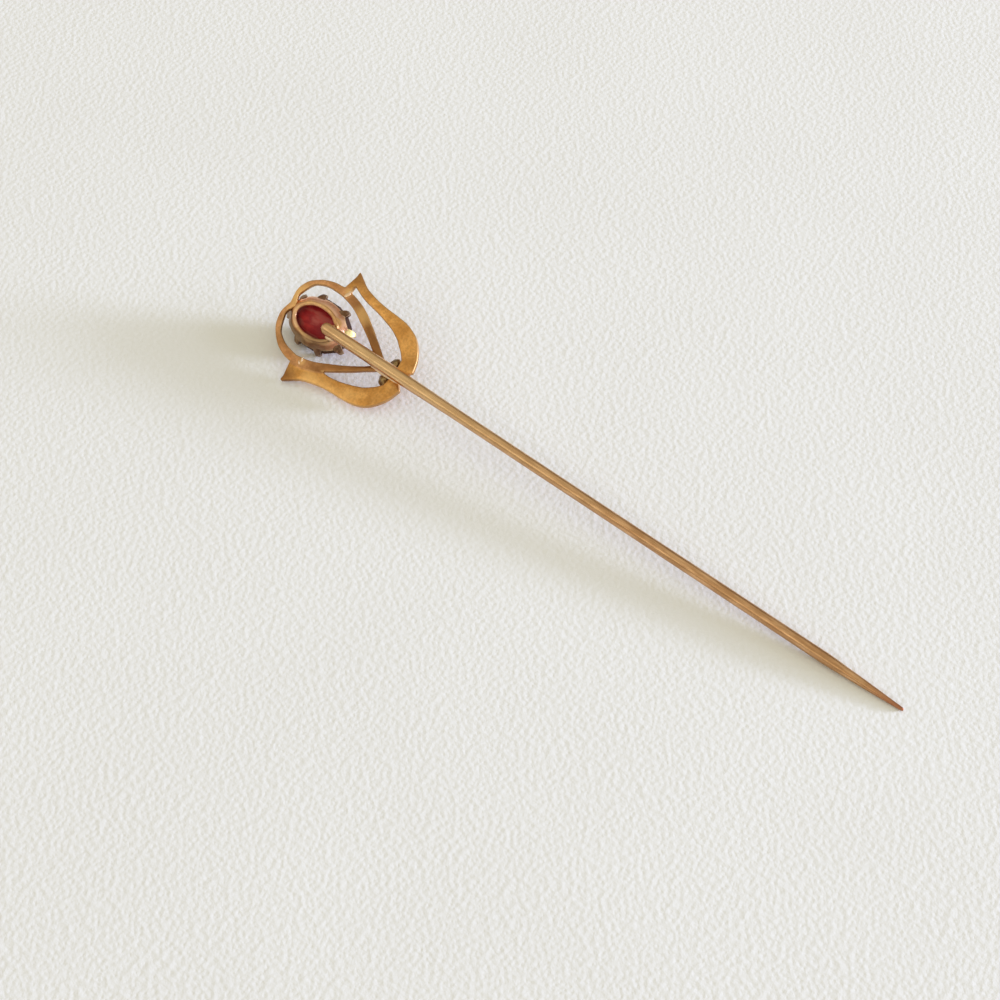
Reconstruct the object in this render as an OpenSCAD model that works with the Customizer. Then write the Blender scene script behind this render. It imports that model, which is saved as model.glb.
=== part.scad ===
// Tulip stick pin, lying face down on its point, one petal and the edge of its stone's table.
//
// The pin is drawn in its own frame first: x runs along the stem from its rounded end to its
// point, y to the right as seen from the back, and z to the back. rested() then turns it so
// that the point, the left petal tip and the table's edge touch z = 0, and centres it there.

/* [Stem] */
// Length of the stem from its rounded end to its point
stem_len = 60; // [45:1:90]
// Diameter of the long straight run of the stem
stem_d = 0.98; // [0.8:0.02:1.4]
// Diameter of the stem where it is soldered to the head
stem_head_d = 1.12; // [1:0.02:1.3]
// How far the stem keeps its head diameter past the petal feet
stem_head_past = 0.3; // [0:0.1:2]
// Length over which the stem narrows from its head diameter to its straight run
stem_neck_len = 5; // [2:0.5:10]
// Length of the ground point
point_len = 7.2; // [4:0.2:12]
// Diameter of the blunt end of the point
tip_d = 0.3; // [0.2:0.02:0.5]

/* [Frame] */
// Width over the two petal tips
head_w = 11.7; // [11:0.1:13.5]
// Length of a petal from the shoulder line to its foot
petal_len = 9.9; // [8.5:0.1:12]
// Outer width of the heart loop at the shoulder line
heart_w = 8.1; // [7.6:0.1:8.6]
// Height of the heart's lobes above the shoulder line
lobe_rise = 3.85; // [3.6:0.05:5]
// Length of the heart's opening below the shoulder line
heart_drop = 6.7; // [6:0.05:7.2]
// Thickness of the flat frame
frame_t = 0.65; // [0.5:0.05:1]
// Sideways lean of the lobes, from bending by hand
heart_lean = 0.38; // [0:0.02:0.6]
// Half width of the stalk that runs under the stem between the slots
stalk_half_w = 0.42; // [0.3:0.02:0.5]
// Distance of the shoulder line from the stem's rounded end, towards the lobes
shoulder_back = 0.55; // [0:0.05:1]
// Depth that the frame and the collet are let into the stem for solder
solder_depth = 0.08; // [0.04:0.01:0.2]

/* [Collet] */
// Length of the oval back rim, along the stem
rim_len = 4.8; // [4:0.1:5.4]
// Width of the oval back rim
rim_w = 3.3; // [2.8:0.02:3.8]
// How far the back rim stands behind the frame
rim_proud = 0.15; // [0.05:0.05:0.3]
// Width of the rounded metal of the back rim
rim_band = 0.36; // [0.25:0.01:0.5]
// Length of the collet's front edge
mouth_len = 6.4; // [6:0.1:6.8]
// Width of the collet's front edge
mouth_w = 4.64; // [4.3:0.02:5]
// Depth from the back rim to the front edge beside a claw
collet_depth = 1.1; // [1:0.05:1.5]
// Thickness of the collet's wall
collet_wall = 0.26; // [0.2:0.02:0.4]
// Depth of the hollows cut in the front edge between the claws
scallop = 0.2; // [0:0.02:0.3]
// Distance of the collet's centre from the stem's rounded end, towards the lobes
collet_back = 0.96; // [0.7:0.02:1.3]
// Roll of the collet about the stem, from soldering by hand
collet_roll = 9; // [0:0.5:12]

/* [Claws] */
// Width of a claw where it leaves the collet's edge
claw_w = 0.56; // [0.4:0.02:0.8]
// Thickness of a claw
claw_t = 0.28; // [0.22:0.02:0.34]
// How far a claw's end reaches forward of the collet's edge
claw_reach = 0.87; // [0.86:0.01:1]

/* [Stone] */
// How far the stone's outline stands beyond the outline of the collet's edge
stone_over = 0.02; // [-0.04:0.02:0.08]
// Clearance between the stone's girdle and the claws
stone_gap = 0.1; // [0.08:0.01:0.14]
// How far the girdle stands forward of the collet's edge
girdle_rise = 0.34; // [0.3:0.02:0.36]
// Thickness of the stone's girdle
girdle_t = 0.12; // [0.08:0.02:0.16]
// Height of the crown above the girdle
crown_h = 1.33; // [1.25:0.01:1.4]
// Size of the table as a share of the girdle
table_share = 0.38; // [0.34:0.02:0.44]
// Depth of the pavilion behind the girdle
pavilion_h = 1.05; // [0.9:0.05:1.1]

/* [Grains] */
// Diameter of the two grains in the feet of the slots
grain_d = 1.2; // [1:0.05:1.4]
// Distance of a grain's middle from the stem's axis
grain_side = 0.85; // [0.7:0.05:1]
// Distance of a grain's middle from the petal feet, along the stem
grain_up = 1.95; // [1.8:0.05:2.1]
// How far a grain's middle is in front of the frame's front face
grain_fore = 0.1; // [0:0.02:0.2]

/* [Hidden] */
$fn = 48;

// Steps for each row of an outline table, and around the oval of the collet
curve_steps = 4;
oval_steps = 64;
arc_steps = 6;

// Columns: along, out. Along is a share of lobe_rise above the shoulder line, out is a share
// of half of heart_w. The rows run from the cusp between the lobes to the notch at the spur.
LOBE_OUTSIDE = [
    [0.93, 0],
    [0.99, 0.27],
    [0.94, 0.49],
    [0.83, 0.67],
    [0.59, 0.86],
    [0.33, 0.97],
    [0.05, 1.01],
];

// Columns: along, out, as above. The rows run from beside the collet down the inside of the
// lobe to the shoulder.
LOBE_INSIDE = [
    [0.83, 0.13],
    [0.87, 0.27],
    [0.75, 0.56],
    [0.62, 0.69],
    [0.36, 0.79],
    [0.00, 0.82],
];

// Columns: along, out. Along is a share of heart_drop below the shoulder line, out is a share
// of half of heart_w. The rows run down the inside of the strand to the stem.
STRAND_INSIDE = [
    [0.14, 0.78],
    [0.29, 0.70],
    [0.44, 0.575],
    [0.60, 0.44],
    [0.75, 0.295],
    [0.88, 0.15],
    [1.00, 0],
];

// Columns: along, out, as above. The rows run up the outside of the strand, from the stalk to
// the spur.
STRAND_OUTSIDE = [
    [0.89, 0.32],
    [0.74, 0.49],
    [0.58, 0.66],
    [0.44, 0.80],
    [0.29, 0.91],
    [0.155, 0.97],
];

// Columns: along, out. Along is a share of petal_len below the shoulder line, out is a share
// of half of head_w. The rows run down the outer edge of a petal from its tip to its foot.
RIGHT_PETAL_OUTSIDE = [
    [0.03, 1.00],
    [0.075, 0.96],
    [0.13, 0.905],
    [0.20, 0.855],
    [0.38, 0.79],
    [0.58, 0.765],
    [0.68, 0.745],
    [0.77, 0.695],
    [0.84, 0.625],
    [0.91, 0.505],
    [0.965, 0.355],
    [1.00, 0.165],
];

// Columns: along, out, as above, for the left petal, which is slimmer below its tip.
LEFT_PETAL_OUTSIDE = [
    [0.03, 1.00],
    [0.075, 0.96],
    [0.13, 0.895],
    [0.20, 0.835],
    [0.38, 0.765],
    [0.58, 0.745],
    [0.68, 0.73],
    [0.77, 0.69],
    [0.84, 0.625],
    [0.91, 0.50],
    [0.965, 0.35],
    [1.00, 0.165],
];

// Columns: along, out, as above. The rows run down the inner edge of the right petal.
RIGHT_PETAL_INSIDE = [
    [0.055, 0.80],
    [0.18, 0.715],
    [0.28, 0.675],
    [0.38, 0.645],
    [0.485, 0.60],
    [0.585, 0.55],
    [0.685, 0.465],
    [0.735, 0.40],
    [0.79, 0.325],
    [0.84, 0.235],
];

// Columns: along, out, as above. The left petal is broader, and its slot starts lower.
LEFT_PETAL_INSIDE = [
    [0.29, 0.56],
    [0.36, 0.57],
    [0.43, 0.56],
    [0.51, 0.53],
    [0.60, 0.485],
    [0.69, 0.425],
    [0.74, 0.37],
    [0.79, 0.305],
    [0.84, 0.22],
];

// Angle of each claw around the oval, from the end next to the stem's point. They were set by
// hand, so they are not quite even.
CLAW_ANGLES = [20, 61, 111, 148, 200, 252, 294, 336];
// Span between a claw and the full depth of the hollow beside it, in degrees
CLAW_SPAN = 18;

// Columns: out as a share of claw_out, ahead as a share of claw_reach, thickness as a share of
// claw_t and width as a share of claw_w. The rows run from a claw's foot to its bent end.
CLAW = [
    [-1.60, -0.50, 0.50, 1.30],
    [-0.10, 0.00, 0.95, 1.12],
    [0.70, 0.28, 1.00, 0.92],
    [1.00, 0.56, 1.00, 0.82],
    [0.45, 0.86, 0.95, 0.72],
    [-0.50, 1.00, 0.62, 0.36],
];
// Radius of the ball at a claw's end, as a share of claw_t
CLAW_BALL = 0.57;

// Share of petal_len at the middle of the base, between the two feet
FOOT_NOTCH = 0.915;
// Share of petal_len at the foot of the slots, beside the stalk
SLOT_FOOT = 0.85;
// Shares of petal_len and of half of head_w at the blunt top of a tip
TIP_TOP = [0.02, 0.987];
// Shares of petal_len and half of heart_w at the inner corner of the right slot's square top
SLOT_CORNER = [0.055, 0.985];

// Shares of the stem's radius and of point_len at the belly of the point
POINT_BELLY = [0.7, 0.5];

// Length of the left slot's pointed start
SLOT_WEDGE = 0.3;

// Frame heights along z: the stem's axis is at 0
stem_r = stem_d / 2;
frame_back = solder_depth - stem_head_d / 2;
frame_front = frame_back - frame_t;
rim_back = frame_back + rim_proud;
shoulder_x = -shoulder_back;
foot_x = shoulder_x + petal_len;
claw_out = stone_over + stone_gap + claw_t / 2;

// A point of a smooth curve between b and c, with a and d as its neighbours
function between(a, b, c, d, t) =
    0.5 * (2 * b + (c - a) * t + (2 * a - 5 * b + 4 * c - d) * t * t
        + (3 * b - a - 3 * c + d) * t * t * t);

// A smooth curve through all rows
function smooth(rows) =
    let (last = len(rows) - 1)
    concat(
        [
            for (i = [0 : last - 1])
                for (step = [0 : curve_steps - 1])
                    between(
                        rows[max(i - 1, 0)], rows[i], rows[i + 1], rows[min(i + 2, last)],
                        step / curve_steps
                    )
        ],
        [rows[last]]
    );

// Rows in shares, placed from the shoulder line with their own length and half width
function placed(rows, length, half_w) =
    [for (row = rows) [shoulder_x + row[0] * length, row[1] * half_w]];

function reversed(points) = [for (i = [len(points) - 1 : -1 : 0]) points[i]];
function mirrored(points) = [for (p = reversed(points)) [p[0], -p[1]]];

// The outline leans with the square of the height above the shoulder line
function leaned(points) =
    [
        for (p = points)
            [p[0], p[1] + heart_lean * pow(max(0, shoulder_x - p[0]) / lobe_rise, 2)]
    ];

// The heart's opening turns about the shoulder line, and less below it than above
function turned(points) =
    [
        for (p = points)
            let (rise = shoulder_x - p[0])
            [p[0], p[1] + heart_lean * rise / (rise > 0 ? lobe_rise : 2 * heart_drop)]
    ];

lobe_outside = placed(smooth(LOBE_OUTSIDE), -lobe_rise, heart_w / 2);
right_petal_outside = placed(smooth(RIGHT_PETAL_OUTSIDE), petal_len, head_w / 2);
left_petal_outside = placed(smooth(LEFT_PETAL_OUTSIDE), petal_len, head_w / 2);
tip_top = [
    shoulder_x + TIP_TOP[0] * petal_len,
    TIP_TOP[1] * head_w / 2
];
right_outline = concat(lobe_outside, [tip_top], right_petal_outside);
left_outline = concat(lobe_outside, [tip_top], left_petal_outside);
foot_notch = [shoulder_x + FOOT_NOTCH * petal_len, 0];

// The frame's cusp meets the collet here
cusp_seat = [-(collet_back + rim_len / 2 + collet_wall / 2), 0];
heart_inside = concat(
    [cusp_seat],
    placed(smooth(LOBE_INSIDE), -lobe_rise, heart_w / 2),
    placed(smooth(STRAND_INSIDE), heart_drop, heart_w / 2)
);

outline = leaned(concat(right_outline, [foot_notch], mirrored(left_outline)));
heart_hole = turned(concat(heart_inside, mirrored(heart_inside)));

strand_outside = placed(smooth(STRAND_OUTSIDE), heart_drop, heart_w / 2);

// The strand's outer edge, carried on in a straight line to the stalk
function carried_on(a, b, y) = a + (a - b) * (a[1] - y) / (b[1] - a[1]);
slot_foot = [
    [shoulder_x + SLOT_FOOT * petal_len, stalk_half_w],
    carried_on(strand_outside[0], strand_outside[1], stalk_half_w)
];
right_petal_inside = placed(smooth(RIGHT_PETAL_INSIDE), petal_len, head_w / 2);
left_petal_inside = placed(smooth(LEFT_PETAL_INSIDE), petal_len, head_w / 2);
slot_corner = [
    shoulder_x + SLOT_CORNER[0] * petal_len,
    SLOT_CORNER[1] * heart_w / 2
];
right_slot = concat([slot_corner], right_petal_inside, slot_foot, strand_outside);
left_slot = concat(
    left_petal_inside,
    slot_foot,
    [for (p = strand_outside) if (p[0] > left_petal_inside[0][0] + SLOT_WEDGE) p]
);

// The collet's own frame has its origin in the middle of the back rim, with z to the back.
// Depths are counted forward from the rim.
function oval(length, width, angle, out) =
    [
        (length / 2 + out) * cos(angle),
        (width / 2 + out) * sin(angle)
    ];

// Outward direction of an oval at an angle
function outward(length, width, angle) =
    let (n = [width * cos(angle), length * sin(angle)])
    n / norm(n);

// From 0 at a claw to 1 in the hollow beside it
function between_claws(angle) =
    let (gaps = [for (claw = CLAW_ANGLES) abs((angle - claw + 540) % 360 - 180)])
    min(1, min(gaps) / CLAW_SPAN);

function front_depth(angle) =
    collet_depth - scallop * (1 - cos(180 * between_claws(angle))) / 2;

// A point of the wall: share 0 is the back rim and 1 the front edge, in is measured inwards
function wall_point(angle, share, in, depth) =
    let (
        length = rim_len + (mouth_len - rim_len) * share,
        width = rim_w + (mouth_w - rim_w) * share,
        p = oval(length, width, angle, -in)
    )
    [p[0], p[1], -depth];

// Columns: share along the flare, inset, depth as a share of the front depth at that angle.
// The rows go once around the section of the wall, with a rounded rim at the back.
function wall_section() = [
    [1.00, 0, 1],
    [0.30, 0.03, 0.30],
    [0.06, 0.06, 0.21],
    [0.00, 0, 0.14],
    [0.00, 0.03, 0.05],
    [0.00, rim_band * 0.32, 0],
    [0.00, rim_band * 0.68, 0],
    [0.00, rim_band, 0.06],
    [0.00, rim_band + 0.02, 0.52],
    [1.00, collet_wall, 1],
];

// A point beside the collet's edge: out from the edge, ahead of it and along it
function claw_point(angle, out, ahead, along) =
    let (
        p = oval(mouth_len, mouth_w, angle, 0),
        n = outward(mouth_len, mouth_w, angle)
    )
    [
        p[0] + n[0] * out - n[1] * along,
        p[1] + n[1] * out + n[0] * along,
        -collet_depth - ahead
    ];

claw_path = [for (row = CLAW) [row[0] * claw_out, row[1] * claw_reach]];
claw_ball_r = CLAW_BALL * claw_t;
claw_last = len(CLAW) - 1;

// The direction of the claw's path at a row, as a unit vector
function claw_run(i) =
    let (run = claw_path[min(i + 1, claw_last)] - claw_path[max(i - 1, 0)])
    run / norm(run);

// The four corners of a claw's section at a row
function claw_section(angle, i) =
    let (
        run = claw_run(i),
        across = [-run[1], run[0]] * CLAW[i][2] * claw_t / 2,
        half_w = CLAW[i][3] * claw_w / 2,
        a = claw_path[i] + across,
        b = claw_path[i] - across
    )
    [
        claw_point(angle, a[0], a[1], -half_w),
        claw_point(angle, a[0], a[1], half_w),
        claw_point(angle, b[0], b[1], half_w),
        claw_point(angle, b[0], b[1], -half_w)
    ];

// The oval stone has a table, then rings of facets that are turned half a facet to each other
FACETS = 16;
stone_len = mouth_len + 2 * stone_over;
stone_w = mouth_w + 2 * stone_over;
girdle_back = collet_depth + girdle_rise;
girdle_front = girdle_back + girdle_t;

// Columns: scale of the girdle oval, depth, turn in facets. The rows run from table to culet.
STONE = [
    [table_share, girdle_front + crown_h, 0.5],
    [(1 + table_share) / 2, girdle_front + crown_h * 0.52, 0],
    [1, girdle_front, 0.5],
    [1, girdle_back, 0.5],
    [0.56, girdle_back - pavilion_h * 0.6, 0],
    [0.14, girdle_back - pavilion_h, 0.5],
];

// Corner i of a row of the stone, in the collet's frame
function stone_point(row, i) =
    let (angle = 360 * (i + row[2]) / FACETS)
    [
        row[0] * stone_len / 2 * cos(angle),
        row[0] * stone_w / 2 * sin(angle),
        -row[1]
    ];

// From the collet's frame to the pin's
function from_collet(p) = [
    p[0] - collet_back,
    p[1] * cos(collet_roll) - p[2] * sin(collet_roll),
    p[1] * sin(collet_roll) + p[2] * cos(collet_roll) + rim_back
];

// What the pin can rest on, each as a ball [x, y, z, radius]: the end, belly and start of the
// point, the edge of the left petal next to its tip, the ends of the claws and the corners of
// the stone's table.
belly_x = stem_len - point_len * POINT_BELLY[1];
stem_balls = [
    [stem_len - tip_d / 2, 0, 0, tip_d / 2],
    [belly_x, 0, 0, stem_r * POINT_BELLY[0]],
    [stem_len - point_len, 0, 0, stem_r]
];
petal_balls = [
    for (i = [0 : 3 * curve_steps])
        [left_petal_outside[i][0], -left_petal_outside[i][1], frame_front, 0]
];
claw_end = claw_path[claw_last];
claw_balls = [
    for (angle = CLAW_ANGLES)
        concat(from_collet(claw_point(angle, claw_end[0], claw_end[1], 0)), claw_ball_r)
];
table_balls = [
    for (i = [0 : FACETS - 1])
        concat(from_collet(stone_point(STONE[0], i)), 0)
];
front_balls = concat(claw_balls, table_balls);
all_balls = concat(stem_balls, petal_balls, front_balls);

function middle(ball) = [ball[0], ball[1], ball[2]];
function height(up, ball) = up * middle(ball) - ball[3];

// The upward direction of a floor that touches three balls from below
function floor_up(a, b, c) =
    let (
        ab = middle(b) - middle(a),
        ac = middle(c) - middle(a),
        rise_b = b[3] - a[3],
        rise_c = c[3] - a[3],
        bb = ab * ab,
        bc = ab * ac,
        cc = ac * ac,
        det = bb * cc - bc * bc,
        in_plane = ab * (rise_b * cc - rise_c * bc) / det + ac * (rise_c * bb - rise_b * bc) / det,
        normal = cross(ab, ac),
        up_side = (normal[2] > 0 ? 1 : -1) * normal / norm(normal)
    )
    in_plane + up_side * sqrt(1 - in_plane * in_plane);

// Of all floors under one ball of each kind, the one that has no other ball below it
rest_ups = [
    for (a = stem_balls)
        for (b = petal_balls)
            for (c = front_balls)
                let (up = floor_up(a, b, c))
                [up, min([for (ball = all_balls) height(up, ball)]) - height(up, a)]
];
clearest = max([for (rest = rest_ups) rest[1]]);
up = [for (rest = rest_ups) if (rest[1] == clearest) rest[0]][0];

// The turns that bring up to vertical: a roll about the stem, then a tilt of the stem
rest_roll = atan2(up[1], up[2]);
rest_tilt = atan2(-up[0], norm([up[1], up[2]]));

function tilted(p) =
    let (
        y = p[1] * cos(rest_roll) - p[2] * sin(rest_roll),
        z = p[1] * sin(rest_roll) + p[2] * cos(rest_roll)
    )
    [
        p[0] * cos(rest_tilt) + z * sin(rest_tilt),
        y,
        z * cos(rest_tilt) - p[0] * sin(rest_tilt)
    ];

floor_level = min([for (ball = all_balls) height(up, ball)]);
edges = [
    for (p = outline)
        for (z = [frame_back, frame_front])
            tilted([p[0], p[1], z])
];
back_end = min([for (p = edges) p[0]]);
front_end = tilted(middle(stem_balls[0]))[0] + tip_d / 2;
left_side = min([for (p = edges) p[1]]);
right_side = max([for (p = edges) p[1]]);

module rested() {
    translate([-(back_end + front_end) / 2, -(left_side + right_side) / 2, -floor_level])
        rotate([0, rest_tilt, 0])
            rotate([rest_roll, 0, 0])
                children();
}

// Half of the stem's outline, as [radius, distance from the rounded end]
function stem_half() =
    let (
        head_r = stem_head_d / 2,
        tip_r = tip_d / 2
    )
    concat(
        [
            for (i = [0 : arc_steps])
                head_r * [sin(90 * i / arc_steps), 1 - cos(90 * i / arc_steps)]
        ],
        [
            [head_r, foot_x + stem_head_past],
            [stem_r, foot_x + stem_head_past + stem_neck_len],
            [stem_r, stem_len - point_len],
            [stem_r * POINT_BELLY[0], belly_x]
        ],
        [
            for (i = [0 : arc_steps])
                [tip_r * cos(90 * i / arc_steps), stem_len - tip_r * (1 - sin(90 * i / arc_steps))]
        ]
    );

module stem() {
    rotate([0, 90, 0])
        rotate_extrude()
            polygon(stem_half());
}

module tulip_frame() {
    translate([0, 0, frame_front])
        linear_extrude(frame_t)
            difference() {
                polygon(outline);
                polygon(heart_hole);
                polygon(right_slot);
                polygon(mirrored(left_slot));
            }
}

// The wall of the collet, a closed tube of flat faces around the oval
module collet_wall_ring() {
    section = wall_section();
    rows = len(section);
    points = [
        for (i = [0 : oval_steps - 1])
            for (row = section)
                wall_point(
                    360 * i / oval_steps, row[0], row[1],
                    row[2] * front_depth(360 * i / oval_steps)
                )
    ];
    faces = [
        for (i = [0 : oval_steps - 1])
            for (j = [0 : rows - 1])
                for (half = [0, 1])
                    let (
                        a = i * rows + j,
                        b = i * rows + (j + 1) % rows,
                        c = ((i + 1) % oval_steps) * rows + (j + 1) % rows,
                        d = ((i + 1) % oval_steps) * rows + j
                    )
                    half == 0 ? [a, b, c] : [a, c, d]
    ];
    polyhedron(points, faces);
}

// A claw: a flat bar bent through its rows, with a ball at its end
module claw(angle) {
    points = [for (i = [0 : claw_last]) each claw_section(angle, i)];
    sides = [
        for (i = [0 : claw_last - 1])
            for (j = [0 : 3])
                [i * 4 + j, i * 4 + 4 + j, i * 4 + 4 + (j + 1) % 4, i * 4 + (j + 1) % 4]
    ];
    foot = [0, 1, 2, 3];
    end = [for (j = [3 : -1 : 0]) claw_last * 4 + j];
    polyhedron(points, concat([foot], sides, [end]));
    translate(claw_point(angle, claw_end[0], claw_end[1], 0))
        sphere(claw_ball_r);
}

module collet() {
    translate([-collet_back, 0, rim_back])
        rotate([collet_roll, 0, 0]) {
            collet_wall_ring();
            for (angle = CLAW_ANGLES)
                claw(angle);
        }
}

// Two grains, soldered between the stalk and the petals in the feet of the slots. Each is
// turned so that the poles of its ball are clear of the frame's edges.
module grains() {
    for (side = [-1, 1])
        translate([foot_x - grain_up, side * grain_side, frame_front - grain_fore])
            rotate([90, 0, 30])
                sphere(grain_d / 2);
}

module gold_mount() {
    color("goldenrod")
        rested() {
            stem();
            tulip_frame();
            collet();
            grains();
        }
}

// The two triangles between point i of the stone's row j and its neighbours on the next row
function facet_pair(i, j) =
    let (
        low = j * FACETS + i,
        low_next = j * FACETS + (i + 1) % FACETS,
        high = low + FACETS,
        high_next = low_next + FACETS,
        turned_on = STONE[j + 1][2] > STONE[j][2]
    )
    turned_on
        ? [[low, high, low_next], [high, high_next, low_next]]
        : [[low, high, high_next], [low, high_next, low_next]];

module faceted_oval() {
    last = len(STONE) - 1;
    points = [
        for (row = STONE)
            for (i = [0 : FACETS - 1])
                stone_point(row, i)
    ];
    table = [for (i = [0 : FACETS - 1]) i];
    culet = [for (i = [FACETS - 1 : -1 : 0]) last * FACETS + i];
    pairs = [
        for (j = [0 : last - 1])
            for (i = [0 : FACETS - 1])
                each facet_pair(i, j)
    ];
    polyhedron(points, concat([table], pairs, [culet]));
}

module oval_stone() {
    color("darkred")
        rested()
            translate([-collet_back, 0, rim_back])
                rotate([collet_roll, 0, 0])
                    faceted_oval();
}

gold_mount();
oval_stone();
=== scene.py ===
"""Looks of the tulip stick pin, laid face down: stem, openwork frame, collet, claws and stone.

The pieces are modelled in millimetres in the pin's own frame, with x from the stem's rounded end
to its point, y to the right as seen from the back and z to the back. RestPose then lays them on
the floor, in metres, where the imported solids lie.
"""

import logging
import math
from dataclasses import dataclass, field
from enum import Enum
from typing import Sequence

import bmesh
import bpy
from mathutils import Matrix, Vector, noise
from mathutils.kdtree import KDTree


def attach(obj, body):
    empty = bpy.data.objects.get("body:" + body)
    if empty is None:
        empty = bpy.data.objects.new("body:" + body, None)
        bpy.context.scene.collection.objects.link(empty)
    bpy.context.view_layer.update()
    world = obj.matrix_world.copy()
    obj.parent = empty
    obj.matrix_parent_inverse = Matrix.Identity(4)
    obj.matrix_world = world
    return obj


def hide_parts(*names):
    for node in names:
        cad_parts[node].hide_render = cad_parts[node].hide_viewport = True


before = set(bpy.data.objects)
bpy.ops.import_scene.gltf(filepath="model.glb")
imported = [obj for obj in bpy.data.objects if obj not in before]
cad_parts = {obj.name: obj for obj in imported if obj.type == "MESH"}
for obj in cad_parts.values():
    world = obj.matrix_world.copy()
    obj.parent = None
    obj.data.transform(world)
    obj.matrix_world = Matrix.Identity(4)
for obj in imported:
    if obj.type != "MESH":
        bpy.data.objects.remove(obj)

LOG = logging.getLogger("stick_pin")
BODY = "root"
MOUNT_NODE = "gold_mount"
STONE_NODE = "oval_stone"
MM = 0.001

Point = tuple[float, float]
Rows = Sequence[Sequence[float]]


class Zone(Enum):
    """Which part of the frame a vertex belongs to, as stored in its attribute."""

    PETAL = 0.0
    LOBE = 0.5
    STRAND = 1.0


@dataclass(frozen=True)
class RestPose:
    """How the pin lies: a roll about its stem, a tilt of the stem, and its place on the floor."""

    roll_deg: float = 21.7018
    tilt_deg: float = 2.89973
    middle_x: float = 27.7504
    middle_y: float = 0.29767
    stem_height: float = 3.19618

    def matrix(self) -> Matrix:
        """Turns millimetres in the pin's frame into metres on the floor."""
        roll = Matrix.Rotation(math.radians(self.roll_deg), 4, "X")
        tilt = Matrix.Rotation(math.radians(self.tilt_deg), 4, "Y")
        place = Matrix.Translation((-self.middle_x, -self.middle_y, self.stem_height))
        return Matrix.Scale(MM, 4) @ place @ tilt @ roll


POSE = RestPose()


def deselect_all() -> None:
    """Leaves edit mode and deselects every object."""
    if bpy.context.object and bpy.context.object.mode != "OBJECT":
        bpy.ops.object.mode_set(mode="OBJECT")
    bpy.ops.object.select_all(action="DESELECT")


def make_active(piece: bpy.types.Object) -> None:
    """Selects one object alone and makes it the active one."""
    deselect_all()
    piece.select_set(True)
    bpy.context.view_layer.objects.active = piece


def clamp(value: float, low: float = 0.0, high: float = 1.0) -> float:
    """Keeps a value between two limits."""
    return max(low, min(high, value))


def enter_edit(piece: bpy.types.Object, mode: str = "EDGE") -> None:
    """Opens a piece in edit mode with everything selected.

    Args:
        piece: The mesh object to edit.
        mode: What selections mean: VERT, EDGE or FACE.
    """
    make_active(piece)
    bpy.ops.object.mode_set(mode="EDIT")
    bpy.ops.mesh.select_mode(type=mode)
    bpy.ops.mesh.select_all(action="SELECT")


def leave_edit() -> None:
    """Goes back to object mode."""
    bpy.ops.object.mode_set(mode="OBJECT")


def set_ring(points: Sequence[Vector]) -> None:
    """Sets the selected corners in edit mode on the points, in order."""
    mesh = bmesh.from_edit_mesh(bpy.context.object.data)
    ring = [corner for corner in mesh.verts if corner.select]
    for corner, place in zip(ring, points):
        corner.co = place
    bmesh.update_edit_mesh(bpy.context.object.data)


def add_ring(points: Sequence[Vector]) -> None:
    """Adds a closed ring in edit mode, as a circle whose corners are set on the points."""
    bpy.ops.mesh.select_all(action="DESELECT")
    bpy.ops.mesh.primitive_circle_add(vertices=len(points), radius=1, fill_type="NOTHING")
    set_ring(points)


def new_ring(name: str, points: Sequence[Vector]) -> bpy.types.Object:
    """Makes an object that starts as one closed ring through the points.

    Args:
        name: The object's name.
        points: The corners of the ring, in order.

    Returns:
        The new object, in edit mode with its ring selected.
    """
    deselect_all()
    bpy.ops.mesh.primitive_circle_add(vertices=len(points), radius=1, fill_type="NOTHING")
    piece = bpy.context.object
    piece.name = piece.data.name = name
    enter_edit(piece)
    set_ring(points)
    return piece


def extrude_ring_to(points: Sequence[Vector]) -> None:
    """Extrudes the selected ring in edit mode and sets its new corners on the points."""
    bpy.ops.mesh.extrude_edges_move(TRANSFORM_OT_translate={"value": (0, 0, 0)})
    set_ring(points)


def close_shell(piece: bpy.types.Object, merge: float = 0.0005) -> None:
    """Merges doubles and turns all faces outwards.

    Args:
        piece: The mesh object.
        merge: The distance under which corners are merged, in the piece's units.
    """
    enter_edit(piece, "VERT")
    bpy.ops.mesh.remove_doubles(threshold=merge)
    bpy.ops.mesh.normals_make_consistent(inside=False)
    leave_edit()


def apply_modifier(piece: bpy.types.Object, kind: str, **settings: object) -> None:
    """Adds a modifier with its settings and applies it.

    Args:
        piece: The mesh object.
        kind: The modifier's type.
        **settings: Values for the modifier's own properties.
    """
    make_active(piece)
    modifier = piece.modifiers.new(kind.lower(), kind)
    for name, value in settings.items():
        setattr(modifier, name, value)
    bpy.ops.object.modifier_apply(modifier=modifier.name)


def subdivide_smoothly(piece: bpy.types.Object, levels: int = 1) -> None:
    """Applies a subdivision surface of a few levels."""
    apply_modifier(piece, "SUBSURF", levels=levels, render_levels=levels)


def loft(
    name: str, rings: Sequence[Sequence[Vector]], merge: float = 0.0005
) -> bpy.types.Object:
    """Models a solid ring by ring, closed with a face at both ends.

    Args:
        name: The object's name.
        rings: The corners of each ring, from one end to the other.
        merge: The distance under which corners are merged.

    Returns:
        The new object, in millimetres.
    """
    piece = new_ring(name, rings[0])
    bpy.ops.mesh.edge_face_add()
    mesh = bmesh.from_edit_mesh(piece.data)
    for face in mesh.faces:
        face.select = False
    for edge in mesh.edges:
        edge.select = True
    bmesh.update_edit_mesh(piece.data)
    for ring in rings[1:]:
        extrude_ring_to(ring)
    bpy.ops.mesh.edge_face_add()
    leave_edit()
    close_shell(piece, merge)
    return piece


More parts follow.
